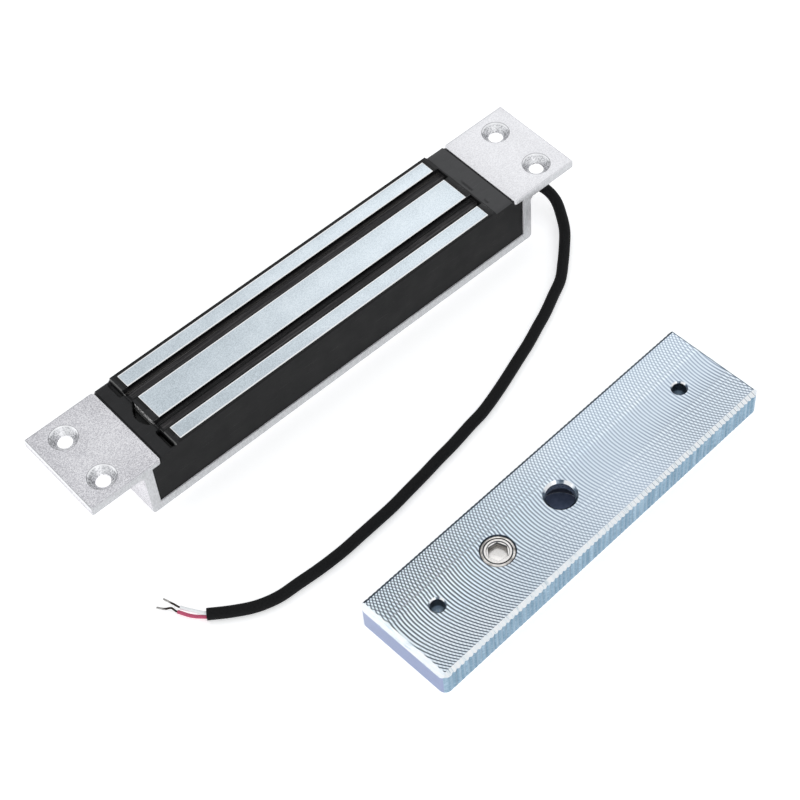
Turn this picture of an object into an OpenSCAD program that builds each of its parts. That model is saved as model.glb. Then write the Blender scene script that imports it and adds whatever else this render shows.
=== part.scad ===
// Flush-mount magnetic door lock: a potted electromagnet in a flanged aluminium
// channel, its lead with bare ends, and the separate steel armature plate.
// Origin: centre of the channel's back face. +X runs along the lock towards the
// lead, +Z leaves the pole faces. The armature lies beside the lock, working
// face down, on the same plane as the channel's back face.

/* [Channel] */
// Length over both mounting tabs
lock_l = 186; // [184:1:190]
// Width of the channel
lock_w = 32.6; // [32.4:0.1:34]
// Height of the tabs' top face above the back face
tab_top = 21; // [21:0.1:21.2]
// Thickness of a mounting tab
tab_t = 2.8; // [2.6:0.1:3]
// Outside distance between the two end walls
wall_span = 150; // [149:0.5:151]
// Thickness of an end wall
wall_t = 3.2; // [3:0.1:3.4]
// Thickness of the channel's floor
base_t = 3; // [2.8:0.1:3]
// How far a tab overhangs the inside of its wall
lip_l = 3.3; // [3:0.1:3.5]
// Thickness of that overhang
lip_t = 1.6; // [1.4:0.1:1.8]

/* [Tab holes] */
// Distance between the holes of the two tabs
hole_dx = 168; // [166:1:170]
// Distance between the two holes of one tab
hole_dy = 18.4; // [17:0.1:19]
// Diameter of the screw hole
hole_d = 4.6; // [4.3:0.1:4.8]
// Diameter of the countersink
sink_d = 8.9; // [8.4:0.1:9]

/* [Magnet] */
// Length of the laminated stack
stack_l = 118.6; // [117:0.1:121]
// Width of the E laminations
core_w = 30; // [30:0.1:30.4]
// Height of the E laminations
core_h = 19.3; // [19.1:0.1:19.6]
// Width of one outer leg, and height of the yoke
leg_w = 5; // [4.8:0.1:5]
// Thickness of an end plate
end_plate_t = 2; // [1.6:0.1:2]

/* [Armature] */
// Length of the plate
plate_l = 130; // [126:1:134]
// Width of the plate
plate_w = 33; // [32:0.5:34]
// Thickness of the plate
plate_t = 9.6; // [9.4:0.1:10]
// Chamfer on the short back edge away from the lead's end
near_chamfer = 1.6; // [1:0.1:2]
// Chamfer on the other short back edge
far_chamfer = 1.2; // [0.8:0.1:1.6]
// Chamfer on the long back edge away from the lock
front_chamfer = 1.3; // [0.8:0.1:1.6]
// Chamfer on the long back edge beside the lock
rear_chamfer = 0.7; // [0.5:0.1:1.6]
// Diameter of the hole for the fixing bolt
bolt_d = 8.6; // [8.4:0.1:9]
// Distance between the two guide pin holes
guide_dx = 99.6; // [96:0.1:102]
// Diameter of a guide pin hole
guide_d = 4.2; // [4:0.1:4.6]
// Distance of the ejector from the fixing bolt
ejector_dx = 25.3; // [22:0.1:28]
// How far the ejector pin springs out
ejector_travel = 1.2; // [0.8:0.1:1.3]

/* [Lead] */
// Diameter of the jacket
jacket_d = 3.6; // [3.4:0.1:3.6]
// Diameter of one insulated core
core_d = 1.1; // [1:0.1:1.1]
// Diameter of the bare strands
strand_d = 0.6; // [0.4:0.1:0.7]

/* [Hidden] */
$fn = 64;

// Plan position and turn of the armature beside the lock
plate_pos = [10.7, -97.5, 0];
plate_turn = 3.1;

// Channel
tab_end_x = lock_l / 2;
wall_out_x = wall_span / 2;
wall_in_x = wall_out_x - wall_t;
lip_x = wall_in_x - lip_l;
tab_low = tab_top - tab_t;
lip_low = tab_top - lip_t;
floor_r = 1.2;        // outer bottom corners of the channel
web_r = 1.5;          // fillet between a wall and the underside of its tab
tab_corner_r = 0.4;   // plan corners of the tabs
lip_corner_r = 1;     // plan corners of the overhangs
tab_edge_r = 0.5;     // rounded outer edge of a tab

// Magnet, which sits a little nearer the end away from the lead
magnet_shift = -0.9;
pole_z = base_t + core_h;
yoke_z = base_t + leg_w;
window_out_y = core_w / 2 - leg_w;
window_w = (core_w - 4 * leg_w) / 2;
pole_y = window_out_y - window_w;
stack_x = stack_l / 2;
magnet_x = stack_x + end_plate_t;
plate_top_z = pole_z - 0.2;      // end plates stop just under the ground pole faces
former_t = 0.7;
tape_t = 0.5;
liner_t = 0.3;
coil_top_z = pole_z - 3.6;       // top flange of the former
liner_top_z = pole_z - 2.3;      // liners and collar stand out of the resin
coil_out_y = window_out_y - liner_t;
coil_corner_r = 5;
rivet_r = 1.25;
rivet_y = core_w / 2 - leg_w / 2;
rivet_z = base_t + leg_w / 2;
fixing_x = 40;
fixing_r = 2;
fixing_head_r = 3.8;
fixing_top_z = 9.5;
fixing_socket_af = 2.5;
fixing_lift = 0.02;              // heads lie just inside the back face

// Resin
resin_y = lock_w / 2 - 0.5;
resin_top_z = tab_top + 0.3;     // end zones of the potting
slot_floor_z = pole_z - 2.8;     // potting between the poles
gap = 0.05;

// Circuit board below the far end turns
board_x = [62.5, 70.6];
board_y = 12;
board_z = [base_t + 0.6, base_t + 1.6];
part_x = 66.5;                   // varistor and diode
varistor_r = 3.4;
varistor_h = 3;
varistor_y = -7.8;
diode_size = [2.6, 5.2, 2.3];
diode_y = 8;
coil_lead_r = 0.4;
coil_lead_x = 64;
coil_lead_y = 3;

// Lead: exit through the far wall, then the route of the jacket's centre line
exit_y = 1.5;
exit_z = 8;
jacket_r = jacket_d / 2;
core_r = core_d / 2;
feed_x = 68.6;
feed_dy = 0.8;
tail_r = 0.4;
neck_r = 3;
flange_r = 4;
relief_r = 2.5;
relief_x = wall_out_x + 3;
jacket_route = [
  [70.5, 1.5, 8], [74.5, 1.5, 8], [78, 1.5, 8], [82, 0.5, 8], [85, -2, 7.5],
  [87, -5.5, 6.5], [88, -10, 6], [87.5, -14.5, 5], [85, -19.5, 4],
  [82, -24, 3], [77.5, -28.5, 2.5], [73, -32.5, 2], [68, -36.5, 1.8],
  [62, -39.5, 1.8], [56, -42.5, 1.8], [50, -45, 1.8], [44, -47.5, 1.8],
  [37, -50, 1.8], [30, -52.5, 1.8], [24, -54.5, 1.8], [17, -56.5, 1.8],
  [11, -57.5, 1.8], [3, -59, 1.8], [-4, -60, 1.8], [-10, -61, 1.8],
  [-17, -62, 1.8], [-24, -63, 1.8], [-30, -63.5, 1.8], [-37, -64, 1.8],
  [-44, -64.5, 1.8], [-52, -64.5, 1.8], [-60, -64, 1.8], [-67, -63.5, 1.8],
  [-73.5, -61.5, 1.8], [-79.5, -58, 1.8], [-85, -54, 1.8]
];
red_route = [
  [-85.4, -54.4, 1.3], [-85.9, -53.9, 1.3], [-87.3, -52.4, 1.2], [-88.2, -51.2, 1.1],
  [-89, -49.8, 1], [-90.2, -47.3, 0.9]
];
white_route = [
  [-85, -53.9, 2.3], [-85.5, -53.4, 2.3], [-86.4, -51.9, 2.2], [-87.4, -50, 1.9],
  [-88.3, -48.3, 1.6], [-88.9, -47, 1.4]
];
red_strand_route = [
  [-90.2, -47.3, 0.9], [-90.5, -46.7, 0.9], [-90.6, -45.7, 0.8], [-90.9, -44.8, 0.7],
  [-91.8, -44.2, 0.6], [-92.5, -43.5, 0.5], [-93, -42.8, 0.5], [-93.6, -41.8, 0.4]
];
white_strand_route = [
  [-88.9, -47, 1.4], [-89.2, -46.4, 1.3], [-89.5, -44.7, 0.9], [-90, -42.8, 0.6],
  [-90.5, -40.9, 0.4]
];

// Armature
plate_corner_r = 2.3;
plate_break = 0.3;               // small chamfer round the working face
head_d = 14;                     // recess for the bolt head, on the working face
head_depth = 6.4;
bolt_chamfer = 0.8;
bolt_at = [-1.1, 0.8];           // the fixing bolt's axis in the plate's own frame
guide_mid_x = -0.3;              // middle of the two guide pin holes
guide_depth = 6;
guide_chamfer = 0.45;

// Ejector: a threaded housing with a sprung pin
ejector_at = bolt_at - [ejector_dx, 0];
housing_r = 5;
housing_z = [0.3, plate_t - 0.25];
housing_bore_r = 2.65;
housing_front_z = 1.3;           // inside face of the housing's front wall
housing_rear_z = 6;              // inside face behind the spring
housing_chamfer = 0.8;
key_af = 5.2;
key_floor_z = housing_z[1] - 2.5;
pin_r = 1.95;
pin_hole_r = 2;
pin_flange_r = 2.6;
pin_flange_z = [housing_front_z + ejector_travel + gap, housing_front_z + ejector_travel + 1];
spring_r = 2;
spring_wire_r = 0.25;
spring_turns = 3;
spring_steps = 48;

// --- shared shapes -------------------------------------------------------

// A rectangle centred on the origin, with round corners
module round_rect(l, w, r) {
  square([l - 2 * r, w], center = true);
  square([l, w - 2 * r], center = true);
  for (sx = [-1, 1], sy = [-1, 1])
    translate([sx * (l / 2 - r), sy * (w / 2 - r)]) circle(r);
}

// The waste outside a quarter circle, for rounding a square corner at the origin
module corner_waste(r) {
  difference() {
    square(r + 1);
    translate([-1, -1]) square(1);
    circle(r);
  }
}

// A box from its low and high corners
module block(lo, hi) {
  translate(lo) cube(hi - lo);
}

// A pair of copies, one on each side of the YZ plane
module both_ends() {
  children();
  mirror([1, 0, 0]) children();
}

// A pair of copies, one on each side of the XZ plane
module both_sides() {
  children();
  mirror([0, 1, 0]) children();
}

// Moves a piece from the plate's own frame to where the armature lies
module at_plate() {
  translate(plate_pos) rotate([0, 0, plate_turn]) children();
}

// Moves a piece to the ejector's axis in the armature
module at_ejector() {
  at_plate() translate(ejector_at) children();
}

// Moves a piece of the magnet to its place in the channel
module at_magnet() {
  translate([magnet_shift, 0, 0]) children();
}

function unit(v) = v / norm(v);

// Tangent of a route at point i
function tangent(route, i) =
  unit(route[min(i + 1, len(route) - 1)] - route[max(i - 1, 0)]);

// A ring of n points of radius r about route point i
function ring(route, i, r, n) =
  let (t = tangent(route, i), side = unit(cross(t, [0, 0, 1])), up = cross(side, t))
  [for (k = [0:n - 1]) route[i] + r * (cos(360 * k / n) * side + sin(360 * k / n) * up)];

// One closed tube swept along a route
module tube(route, r, n = 8) {
  rings = len(route);
  points = [for (i = [0:rings - 1]) each ring(route, i, r, n)];
  walls = [
    for (i = [0:rings - 2], k = [0:n - 1])
      [i * n + k, (i + 1) * n + k, (i + 1) * n + (k + 1) % n, i * n + (k + 1) % n]
  ];
  start_cap = [[for (k = [0:n - 1]) k]];
  end_cap = [[for (k = [n - 1:-1:0]) (rings - 1) * n + k]];
  polyhedron(points, concat(start_cap, walls, end_cap));
}

// --- channel -------------------------------------------------------------

// Half of the channel's section, in X and Z
module half_section() {
  difference() {
    union() {
      square([wall_out_x, base_t]);
      translate([wall_in_x, 0]) square([wall_t, tab_top]);
      translate([wall_in_x, tab_low]) square([tab_end_x - wall_in_x, tab_t]);
      translate([lip_x, lip_low]) square([lip_l + 1, lip_t]);
      translate([wall_out_x, tab_low - web_r]) difference() {
        square([web_r, web_r]);
        translate([web_r, 0]) circle(web_r);
      }
    }
    translate([wall_out_x - floor_r, floor_r]) mirror([0, 1]) corner_waste(floor_r);
    translate([tab_end_x - tab_edge_r, tab_top - tab_edge_r]) corner_waste(tab_edge_r);
  }
}

module tab_hole() {
  translate([0, 0, tab_low - 1]) cylinder(d = hole_d, h = tab_t + 2);
  sink_depth = (sink_d - hole_d) / 2;
  translate([0, 0, tab_top - sink_depth])
    cylinder(d1 = hole_d, d2 = sink_d, h = sink_depth);
  translate([0, 0, tab_top - 0.001]) cylinder(d = sink_d, h = 1);
}

// Rounds one plan corner at (x, y), where the metal lies towards -X and -Y
module plan_corner(x, y, z, r) {
  translate([x - r, y - r, z]) linear_extrude(tab_top) corner_waste(r);
}

module fixing_hole() {
  cylinder(r = fixing_r + gap, h = base_t);
  cylinder(r1 = fixing_head_r + gap, r2 = fixing_r + gap, h = fixing_head_r - fixing_r);
}

module mounting_bracket() {
  color("#e6e6ea") difference() {
    rotate([90, 0, 0]) linear_extrude(lock_w, center = true) {
      half_section();
      mirror([1, 0]) half_section();
    }
    for (sx = [-1, 1], sy = [-1, 1])
      translate([sx * hole_dx / 2, sy * hole_dy / 2, 0]) tab_hole();
    both_ends() both_sides() {
      plan_corner(tab_end_x, lock_w / 2, tab_low - 1, tab_corner_r);
      mirror([1, 0, 0]) plan_corner(-lip_x, lock_w / 2, lip_low - 0.5, lip_corner_r);
    }
    at_magnet() for (x = [-fixing_x, fixing_x]) translate([x, 0, 0]) fixing_hole();
    translate([wall_in_x - 1, exit_y, exit_z])
      rotate([0, 90, 0]) cylinder(r = neck_r, h = wall_t + 2);
  }
}

// --- magnet --------------------------------------------------------------

// The E outline, in Y and Z, up to height top
module e_outline(top) {
  translate([-core_w / 2, base_t]) square([core_w, leg_w]);
  for (y = [-core_w / 2, window_out_y])
    translate([y, base_t]) square([leg_w, top - base_t]);
  translate([-pole_y, base_t]) square([2 * pole_y, top - base_t]);
}

// An E extruded along X between two positions
module e_block(x0, x1, top) {
  translate([x0, 0, 0]) rotate([90, 0, 90]) linear_extrude(x1 - x0) e_outline(top);
}

module rivet_holes() {
  both_sides() translate([-magnet_x - 1, rivet_y, rivet_z])
    rotate([0, 90, 0]) cylinder(r = rivet_r, h = 2 * magnet_x + 2);
}

module core_stack() {
  color("#c9d2da") at_magnet() difference() {
    e_block(-stack_x, stack_x, pole_z);
    rivet_holes();
    for (x = [-fixing_x, fixing_x])
      translate([x, 0, 0]) cylinder(r = fixing_r, h = fixing_top_z + fixing_lift);
  }
}

module end_plate() {
  color("#2b2b2d") difference() {
    e_block(stack_x, magnet_x, plate_top_z);
    rivet_holes();
  }
}

module far_end_plate() {
  at_magnet() end_plate();
}

module near_end_plate() {
  at_magnet() mirror([1, 0, 0]) end_plate();
}

// A rivet through stack and end plates, with a low round head at each end
module rivet() {
  head_r = 2;
  head_h = 0.8;
  rotate([0, 90, 0]) {
    translate([0, 0, -magnet_x]) cylinder(r = rivet_r, h = 2 * magnet_x);
    for (z = [-magnet_x - head_h, magnet_x])
      translate([0, 0, z]) cylinder(r = head_r, h = head_h);
  }
}

module core_rivets() {
  color("#9aa0a6") at_magnet() both_sides() translate([0, rivet_y, rivet_z]) rivet();
}

module fixing_screw() {
  difference() {
    union() {
      cylinder(r = fixing_r, h = fixing_top_z);
      cylinder(r1 = fixing_head_r, r2 = fixing_r, h = fixing_head_r - fixing_r);
    }
    translate([0, 0, -1]) cylinder(d = fixing_socket_af / cos(30), h = 2.4, $fn = 6);
  }
}

module core_fixing_screws() {
  color("#8f9499") at_magnet() for (x = [-fixing_x, fixing_x])
    translate([x, 0, fixing_lift]) fixing_screw();
}

// Insulating sheets against the outer legs
module slot_liners() {
  color("#4b4a46") at_magnet() both_sides()
    block([-magnet_x, coil_out_y, yoke_z], [magnet_x, window_out_y, liner_top_z]);
}

// A racetrack round the centre pole, out to distance d from its sides
module pole_ring(d, r) {
  round_rect(2 * (magnet_x + d), 2 * (pole_y + d), r);
}

module pole_opening() {
  square([2 * magnet_x, 2 * pole_y], center = true);
}

module coil_former() {
  flange_d = coil_out_y - pole_y;
  color("#3a3a3c") at_magnet() {
    translate([0, 0, yoke_z]) linear_extrude(liner_top_z - yoke_z) difference() {
      pole_ring(former_t, former_t);
      pole_opening();
    }
    for (z = [yoke_z, coil_top_z - former_t])
      translate([0, 0, z]) linear_extrude(former_t) difference() {
        pole_ring(flange_d, coil_corner_r);
        pole_ring(former_t, former_t);
      }
  }
}

// A ring of the coil between two distances from the pole
module coil_ring(d0, r0, d1, r1) {
  translate([0, 0, yoke_z + former_t])
    linear_extrude(coil_top_z - yoke_z - 2 * former_t) difference() {
      pole_ring(d1, r1);
      pole_ring(d0, r0);
    }
}

module coil_winding() {
  d = coil_out_y - pole_y - tape_t;
  color("#a8552a") at_magnet() coil_ring(former_t, former_t, d, coil_corner_r - tape_t);
}

module coil_tape() {
  d = coil_out_y - pole_y;
  color("#d9c46a") at_magnet() coil_ring(d - tape_t, coil_corner_r - tape_t, d, coil_corner_r);
}

module coil_leads() {
  color("#c8672f") both_sides()
    translate([coil_lead_x, coil_lead_y, board_z[1]])
      cylinder(r = coil_lead_r, h = yoke_z - board_z[1], $fn = 24);
}

// --- board ---------------------------------------------------------------

module circuit_board() {
  color("#2f6b45")
    block([board_x[0], -board_y, board_z[0]], [board_x[1], board_y, board_z[1]]);
}

module surge_varistor() {
  color("#2e63a8") translate([part_x, varistor_y, board_z[1]])
    cylinder(r = varistor_r, h = varistor_h);
}

module flyback_diode() {
  color("#242424") translate([part_x, diode_y, board_z[1] + diode_size[2] / 2])
    cube(diode_size, center = true);
}

// --- resin ---------------------------------------------------------------

// What the potting surrounds
module potted_pieces() {
  at_magnet() {
    e_block(-magnet_x, magnet_x, pole_z + 1);
    translate([0, 0, yoke_z]) linear_extrude(coil_top_z - yoke_z)
      pole_ring(coil_out_y - pole_y, coil_corner_r);
    translate([0, 0, yoke_z]) linear_extrude(liner_top_z - yoke_z)
      pole_ring(former_t, former_t);
  }
  slot_liners();
  core_rivets();
  coil_leads();
  circuit_board();
  surge_varistor();
  flyback_diode();
  cable_grommet();
  core_tails();
  translate([jacket_route[0][0], exit_y, exit_z])
    rotate([0, 90, 0]) cylinder(r = jacket_r, h = 4);
}

// Hollow left over the near end turn, and the crack beside the near front pole
module cast_marks() {
  bow = 2.6;
  bow_r = (25 + bow * bow) / (2 * bow);
  translate([0, 0, coil_top_z]) linear_extrude(pole_z) intersection() {
    translate([-magnet_x - bow + bow_r, -0.5]) circle(bow_r);
    translate([-magnet_x - 5, -6]) square([5.5, 11]);
  }
  block([-magnet_x - 1.1, -14.6, slot_floor_z - 1], [-magnet_x, -8.2, pole_z]);
}

module potting_resin() {
  color("#2f2f31") difference() {
    union() {
      block([-wall_in_x, -resin_y, base_t], [wall_in_x, resin_y, lip_low]);
      block([-lip_x, -resin_y, lip_low], [lip_x, resin_y, resin_top_z]);
      at_magnet() block([-magnet_x, -resin_y, lip_low], [magnet_x, resin_y, plate_top_z]);
    }
    at_magnet() {
      block([-magnet_x, -window_out_y, slot_floor_z], [magnet_x, window_out_y, pole_z]);
      cast_marks();
    }
    potted_pieces();
  }
}

// --- lead ----------------------------------------------------------------

module cable_grommet() {
  color("#1c1c1e") translate([0, exit_y, exit_z]) rotate([90, 0, 90]) rotate_extrude()
    polygon([
      [jacket_r, wall_in_x - 1], [flange_r - 0.4, wall_in_x - 1], [flange_r - 0.4, wall_in_x],
      [neck_r, wall_in_x], [neck_r, wall_out_x], [flange_r, wall_out_x],
      [flange_r, wall_out_x + 1.2], [relief_r, relief_x], [jacket_r, relief_x]
    ]);
}

module cable_jacket() {
  color("#1a1a1b") tube(jacket_route, jacket_r);
}

// Inner ends of the two cores: insulation out of the jacket, bare wire to the board
module core_tails() {
  color("#c9c2bc") for (side = [-1, 1])
    translate([feed_x, exit_y + side * feed_dy, exit_z]) {
      rotate([0, 90, 0]) cylinder(r = core_r, h = jacket_route[0][0] - feed_x, $fn = 32);
      translate([tail_r, 0, board_z[1] - exit_z])
        cylinder(r = tail_r, h = exit_z - board_z[1], $fn = 24);
    }
}

module red_core() {
  color("#d8404c") tube(red_route, core_r);
}

module white_core() {
  color("#ececec") tube(white_route, core_r);
}

module red_strands() {
  color("#a8a29a") tube(red_strand_route, strand_d / 2);
}

module white_strands() {
  color("#a8a29a") tube(white_strand_route, strand_d / 2);
}

// --- armature ------------------------------------------------------------

// A section of width w: chamfers low and high on the back, a small break in front
module plate_section(w, low, high) {
  polygon([
    [-w / 2 + plate_break, 0], [w / 2 - plate_break, 0], [w / 2, plate_break],
    [w / 2, plate_t - high], [w / 2 - high, plate_t], [-w / 2 + low, plate_t],
    [-w / 2, plate_t - low], [-w / 2, plate_break]
  ]);
}

module plate_blank() {
  intersection() {
    linear_extrude(plate_t) round_rect(plate_l, plate_w, plate_corner_r);
    rotate([90, 0, 0]) linear_extrude(plate_w + 2, center = true)
      plate_section(plate_l, near_chamfer, far_chamfer);
    rotate([90, 0, 90]) linear_extrude(plate_l + 2, center = true)
      plate_section(plate_w, front_chamfer, rear_chamfer);
  }
}

// A hole from the back face, of diameter d down to z, with chamfer c
module back_hole(d, z, c) {
  translate([0, 0, z]) cylinder(d = d, h = plate_t - z + 1);
  translate([0, 0, plate_t - c]) cylinder(d1 = d, d2 = d + 4 * c, h = 2 * c);
}

module armature_plate() {
  color("#b9c6d6") at_plate() difference() {
    plate_blank();
    translate(bolt_at) {
      back_hole(bolt_d, -1, bolt_chamfer);
      translate([0, 0, -1]) cylinder(d = head_d, h = head_depth + 1);
    }
    for (side = [-1, 1])
      translate([guide_mid_x + side * guide_dx / 2, bolt_at[1], 0])
        back_hole(guide_d, plate_t - guide_depth, guide_chamfer);
    translate(ejector_at) translate([0, 0, -1]) cylinder(r = housing_r, h = plate_t + 2);
  }
}

module ejector_housing() {
  color("#c6bfae") at_ejector() difference() {
    rotate_extrude() polygon([
      [0, housing_z[0]], [housing_r, housing_z[0]], [housing_r, housing_z[1] - housing_chamfer],
      [housing_r - housing_chamfer, housing_z[1]], [0, housing_z[1]]
    ]);
    translate([0, 0, key_floor_z]) cylinder(d = key_af / cos(30), h = 4, $fn = 6);
    translate([0, 0, key_floor_z - 0.6]) cylinder(r1 = 0.4, r2 = key_af / 2 - 0.1, h = 0.6);
    translate([0, 0, housing_front_z])
      cylinder(r = housing_bore_r, h = housing_rear_z - housing_front_z);
    translate([0, 0, -1]) cylinder(r = pin_hole_r, h = housing_front_z + 2);
  }
}

module ejector_spring() {
  z0 = pin_flange_z[1] + spring_wire_r;
  z1 = housing_rear_z - spring_wire_r;
  route = [
    for (i = [0:spring_steps])
      let (a = 360 * spring_turns * i / spring_steps)
      [spring_r * cos(a), spring_r * sin(a), z0 + (z1 - z0) * i / spring_steps]
  ];
  color("#b0b4b8") at_ejector() tube(route, spring_wire_r, 6);
}

module ejector_pin() {
  color("#b8963f") at_ejector() {
    cylinder(r = pin_r, h = pin_flange_z[1]);
    translate([0, 0, pin_flange_z[0]])
      cylinder(r = pin_flange_r, h = pin_flange_z[1] - pin_flange_z[0]);
  }
}

mounting_bracket();
core_stack();
near_end_plate();
far_end_plate();
core_rivets();
core_fixing_screws();
slot_liners();
coil_former();
coil_winding();
coil_tape();
coil_leads();
potting_resin();
circuit_board();
surge_varistor();
flyback_diode();
cable_grommet();
cable_jacket();
core_tails();
red_core();
white_core();
red_strands();
white_strands();
armature_plate();
ejector_housing();
ejector_spring();
ejector_pin();
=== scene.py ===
"""Looks for the flush-mount magnetic lock, its lead and its armature plate.

Lengths are in millimetres inside the helpers, and MM turns them into the frame's metres.
"""

import math

import bmesh
import bpy
from mathutils import Matrix, Vector, noise


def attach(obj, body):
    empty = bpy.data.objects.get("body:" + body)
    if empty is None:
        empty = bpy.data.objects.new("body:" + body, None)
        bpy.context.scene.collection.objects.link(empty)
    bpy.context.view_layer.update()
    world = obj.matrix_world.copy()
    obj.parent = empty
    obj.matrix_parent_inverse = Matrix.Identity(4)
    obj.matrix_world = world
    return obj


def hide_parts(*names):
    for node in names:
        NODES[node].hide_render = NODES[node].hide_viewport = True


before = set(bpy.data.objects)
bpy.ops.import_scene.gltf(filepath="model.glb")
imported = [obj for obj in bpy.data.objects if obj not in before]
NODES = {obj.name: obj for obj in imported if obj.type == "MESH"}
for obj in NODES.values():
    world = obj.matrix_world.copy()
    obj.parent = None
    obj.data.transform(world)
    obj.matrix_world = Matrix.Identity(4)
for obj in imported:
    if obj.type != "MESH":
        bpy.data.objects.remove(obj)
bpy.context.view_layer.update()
MM = 0.001

# ---------------------------------------------------------------- dimensions

TAB_END = 93.0
TAB_TOP = 21.0
TAB_HOLE = (84, 9.2)
WALL_IN = 71.8
LIP_X = 68.5
LIP_LOW = 19.4
BASE_T = 3.0

MAGNET_SHIFT = -0.9
MAGNET_X = 61.3
NEAR_END = MAGNET_SHIFT - MAGNET_X
FAR_END = MAGNET_SHIFT + MAGNET_X
STRIP_X = 59.3
POLE_Z = 22.3
POLE_Y = 5.0
WINDOW_OUT = 10.0
CORE_Y = 15.0
RESIN_Y = 15.8
RESIN_BACK_Y = 16.1
RESIN_TOP = 21.3
BORDER_TOP = 22.1
SLOT_FLOOR = 19.5
FILM_T = 0.12

PLATE_CENTRE = (10.7, -97.5)
PLATE_TURN = math.radians(3.1)
PLATE_L = 130.0
PLATE_W = 33.0
PLATE_T = 9.6
NEAR_CHAMFER = 1.6
FAR_CHAMFER = 1.2
FRONT_CHAMFER = 1.3
REAR_CHAMFER = 0.7
CORNER_R = 2.3
SCALLOP_PITCH = 1.6
SCALLOP_DEPTH = 0.3
BOLT_AT = (-1.1, 0.8)
BOLT_R = 4.3
HEAD_R = 7.0
HEAD_DEPTH = 6.4
GUIDES_AT = ((-50.1, 0.8), (49.5, 0.8))
GUIDE_R = 2.1
GUIDE_DEPTH = 6.0
MILL_R = 27.0
MILL_PITCH = 1.03

EJECTOR_AT = (-26.4, 0.8)
SEAT_R = 5.0
SOCKET_R = 2.6 / math.cos(math.pi / 6)
SOCKET_TURN = math.radians(20)
EJECTOR_PROFILE = [
    (0.0, 0.3), (2.0, 0.3), (SEAT_R, 0.3), (SEAT_R, 8.95), (4.85, 9.25), (4.3, 9.4), (4.24, 8.8),
    (3.98, 8.8), (3.92, 9.4), (3.35, 9.4), (3.2, 9.1), (0.0, 9.1),
]

FLOOR_Z = -0.2
SHADE_DISC_Z = 0.08
FLOOR_WHITE = 0.935
FLOOR_GLOW = 0.42

JACKET_R = 1.8
CORE_R = 0.55
WIRE_R = 0.3
WIRE_COUNT = 6
WIRE_TURNS = 1.3
WIRE_SPLAY = 0.2
JACKET_ROUTE = [
    (70.5, 1.5, 8), (74.5, 1.5, 8), (78, 1.5, 8), (82, 0.5, 8), (85, -2, 7.5),
    (87, -5.5, 6.5), (88, -10, 6), (87.5, -14.5, 5), (85, -19.5, 4),
    (82, -24, 3), (77.5, -28.5, 2.5), (73, -32.5, 2), (68, -36.5, 1.8),
    (62, -39.5, 1.8), (56, -42.5, 1.8), (50, -45, 1.8), (44, -47.5, 1.8),
    (37, -50, 1.8), (30, -52.5, 1.8), (24, -54.5, 1.8), (17, -56.5, 1.8),
    (11, -57.5, 1.8), (3, -59, 1.8), (-4, -60, 1.8), (-10, -61, 1.8),
    (-17, -62, 1.8), (-24, -63, 1.8), (-30, -63.5, 1.8), (-37, -64, 1.8),
    (-44, -64.5, 1.8), (-52, -64.5, 1.8), (-60, -64, 1.8), (-67, -63.5, 1.8),
    (-73.5, -61.5, 1.8), (-79.5, -58, 1.8), (-85, -54, 1.8),
]
RED_ROUTE = [
    (-85.4, -54.4, 1.3), (-85.9, -53.9, 1.3), (-87.3, -52.4, 1.2), (-88.2, -51.2, 1.1),
    (-89, -49.8, 1), (-90.2, -47.3, 0.9),
]
WHITE_ROUTE = [
    (-85, -53.9, 2.3), (-85.5, -53.4, 2.3), (-86.4, -51.9, 2.2), (-87.4, -50, 1.9),
    (-88.3, -48.3, 1.6), (-88.9, -47, 1.4),
]
RED_STRAND_ROUTE = [
    (-90.2, -47.3, 0.9), (-90.5, -46.7, 0.9), (-90.6, -45.7, 0.8), (-90.9, -44.8, 0.7),
    (-91.8, -44.2, 0.6), (-92.5, -43.5, 0.5), (-93, -42.8, 0.5), (-93.6, -41.8, 0.4),
]
WHITE_STRAND_ROUTE = [
    (-88.9, -47, 1.4), (-89.2, -46.4, 1.3), (-89.5, -44.7, 0.9), (-90, -42.8, 0.6),
    (-90.5, -40.9, 0.4),
]

# ---------------------------------------------------------------- camera and light


def linked(name, data):
    """A new object in the scene."""
    made = bpy.data.objects.new(name, data)
    bpy.context.scene.collection.objects.link(made)
    return made


def make_camera():
    """The photograph's viewpoint."""
    data = bpy.data.cameras.new("camera")
    data.lens = 91.97
    data.sensor_width = 36
    data.clip_start = 0.02
    data.clip_end = 20
    camera = linked("camera", data)
    right = Vector((0.74782, -0.66126, -0.05923))
    up = Vector((0.56283, 0.58412, 0.58484))
    back = Vector((-0.35213, -0.47069, 0.80899))
    place = Vector((-0.21109, -0.32144, 0.4918))
    camera.matrix_world = Matrix([
        (right.x, up.x, back.x, place.x),
        (right.y, up.y, back.y, place.y),
        (right.z, up.z, back.z, place.z),
        (0, 0, 0, 1),
    ])
    bpy.context.scene.camera = camera


def make_softbox(name, direction, distance, size, power):
    """A square white area light that looks at the middle of the layout."""
    data = bpy.data.lights.new(name, "AREA")
    data.size = size
    data.energy = power
    light = linked(name, data)
    target = Vector((0, -0.04, 0.01))
    towards = Vector(direction).normalized()
    light.location = target + towards * distance
    light.rotation_mode = "QUATERNION"
    light.rotation_quaternion = towards.to_track_quat("Z", "Y")


def make_world():
    """An even white surround."""
    world = bpy.data.worlds.new("surround")
    world.use_nodes = True
    background = world.node_tree.nodes["Background"]
    background.inputs["Color"].default_value = (0.97, 0.985, 1, 1)
    background.inputs["Strength"].default_value = 0.83
    bpy.context.scene.world = world


# ---------------------------------------------------------------- node materials


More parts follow.
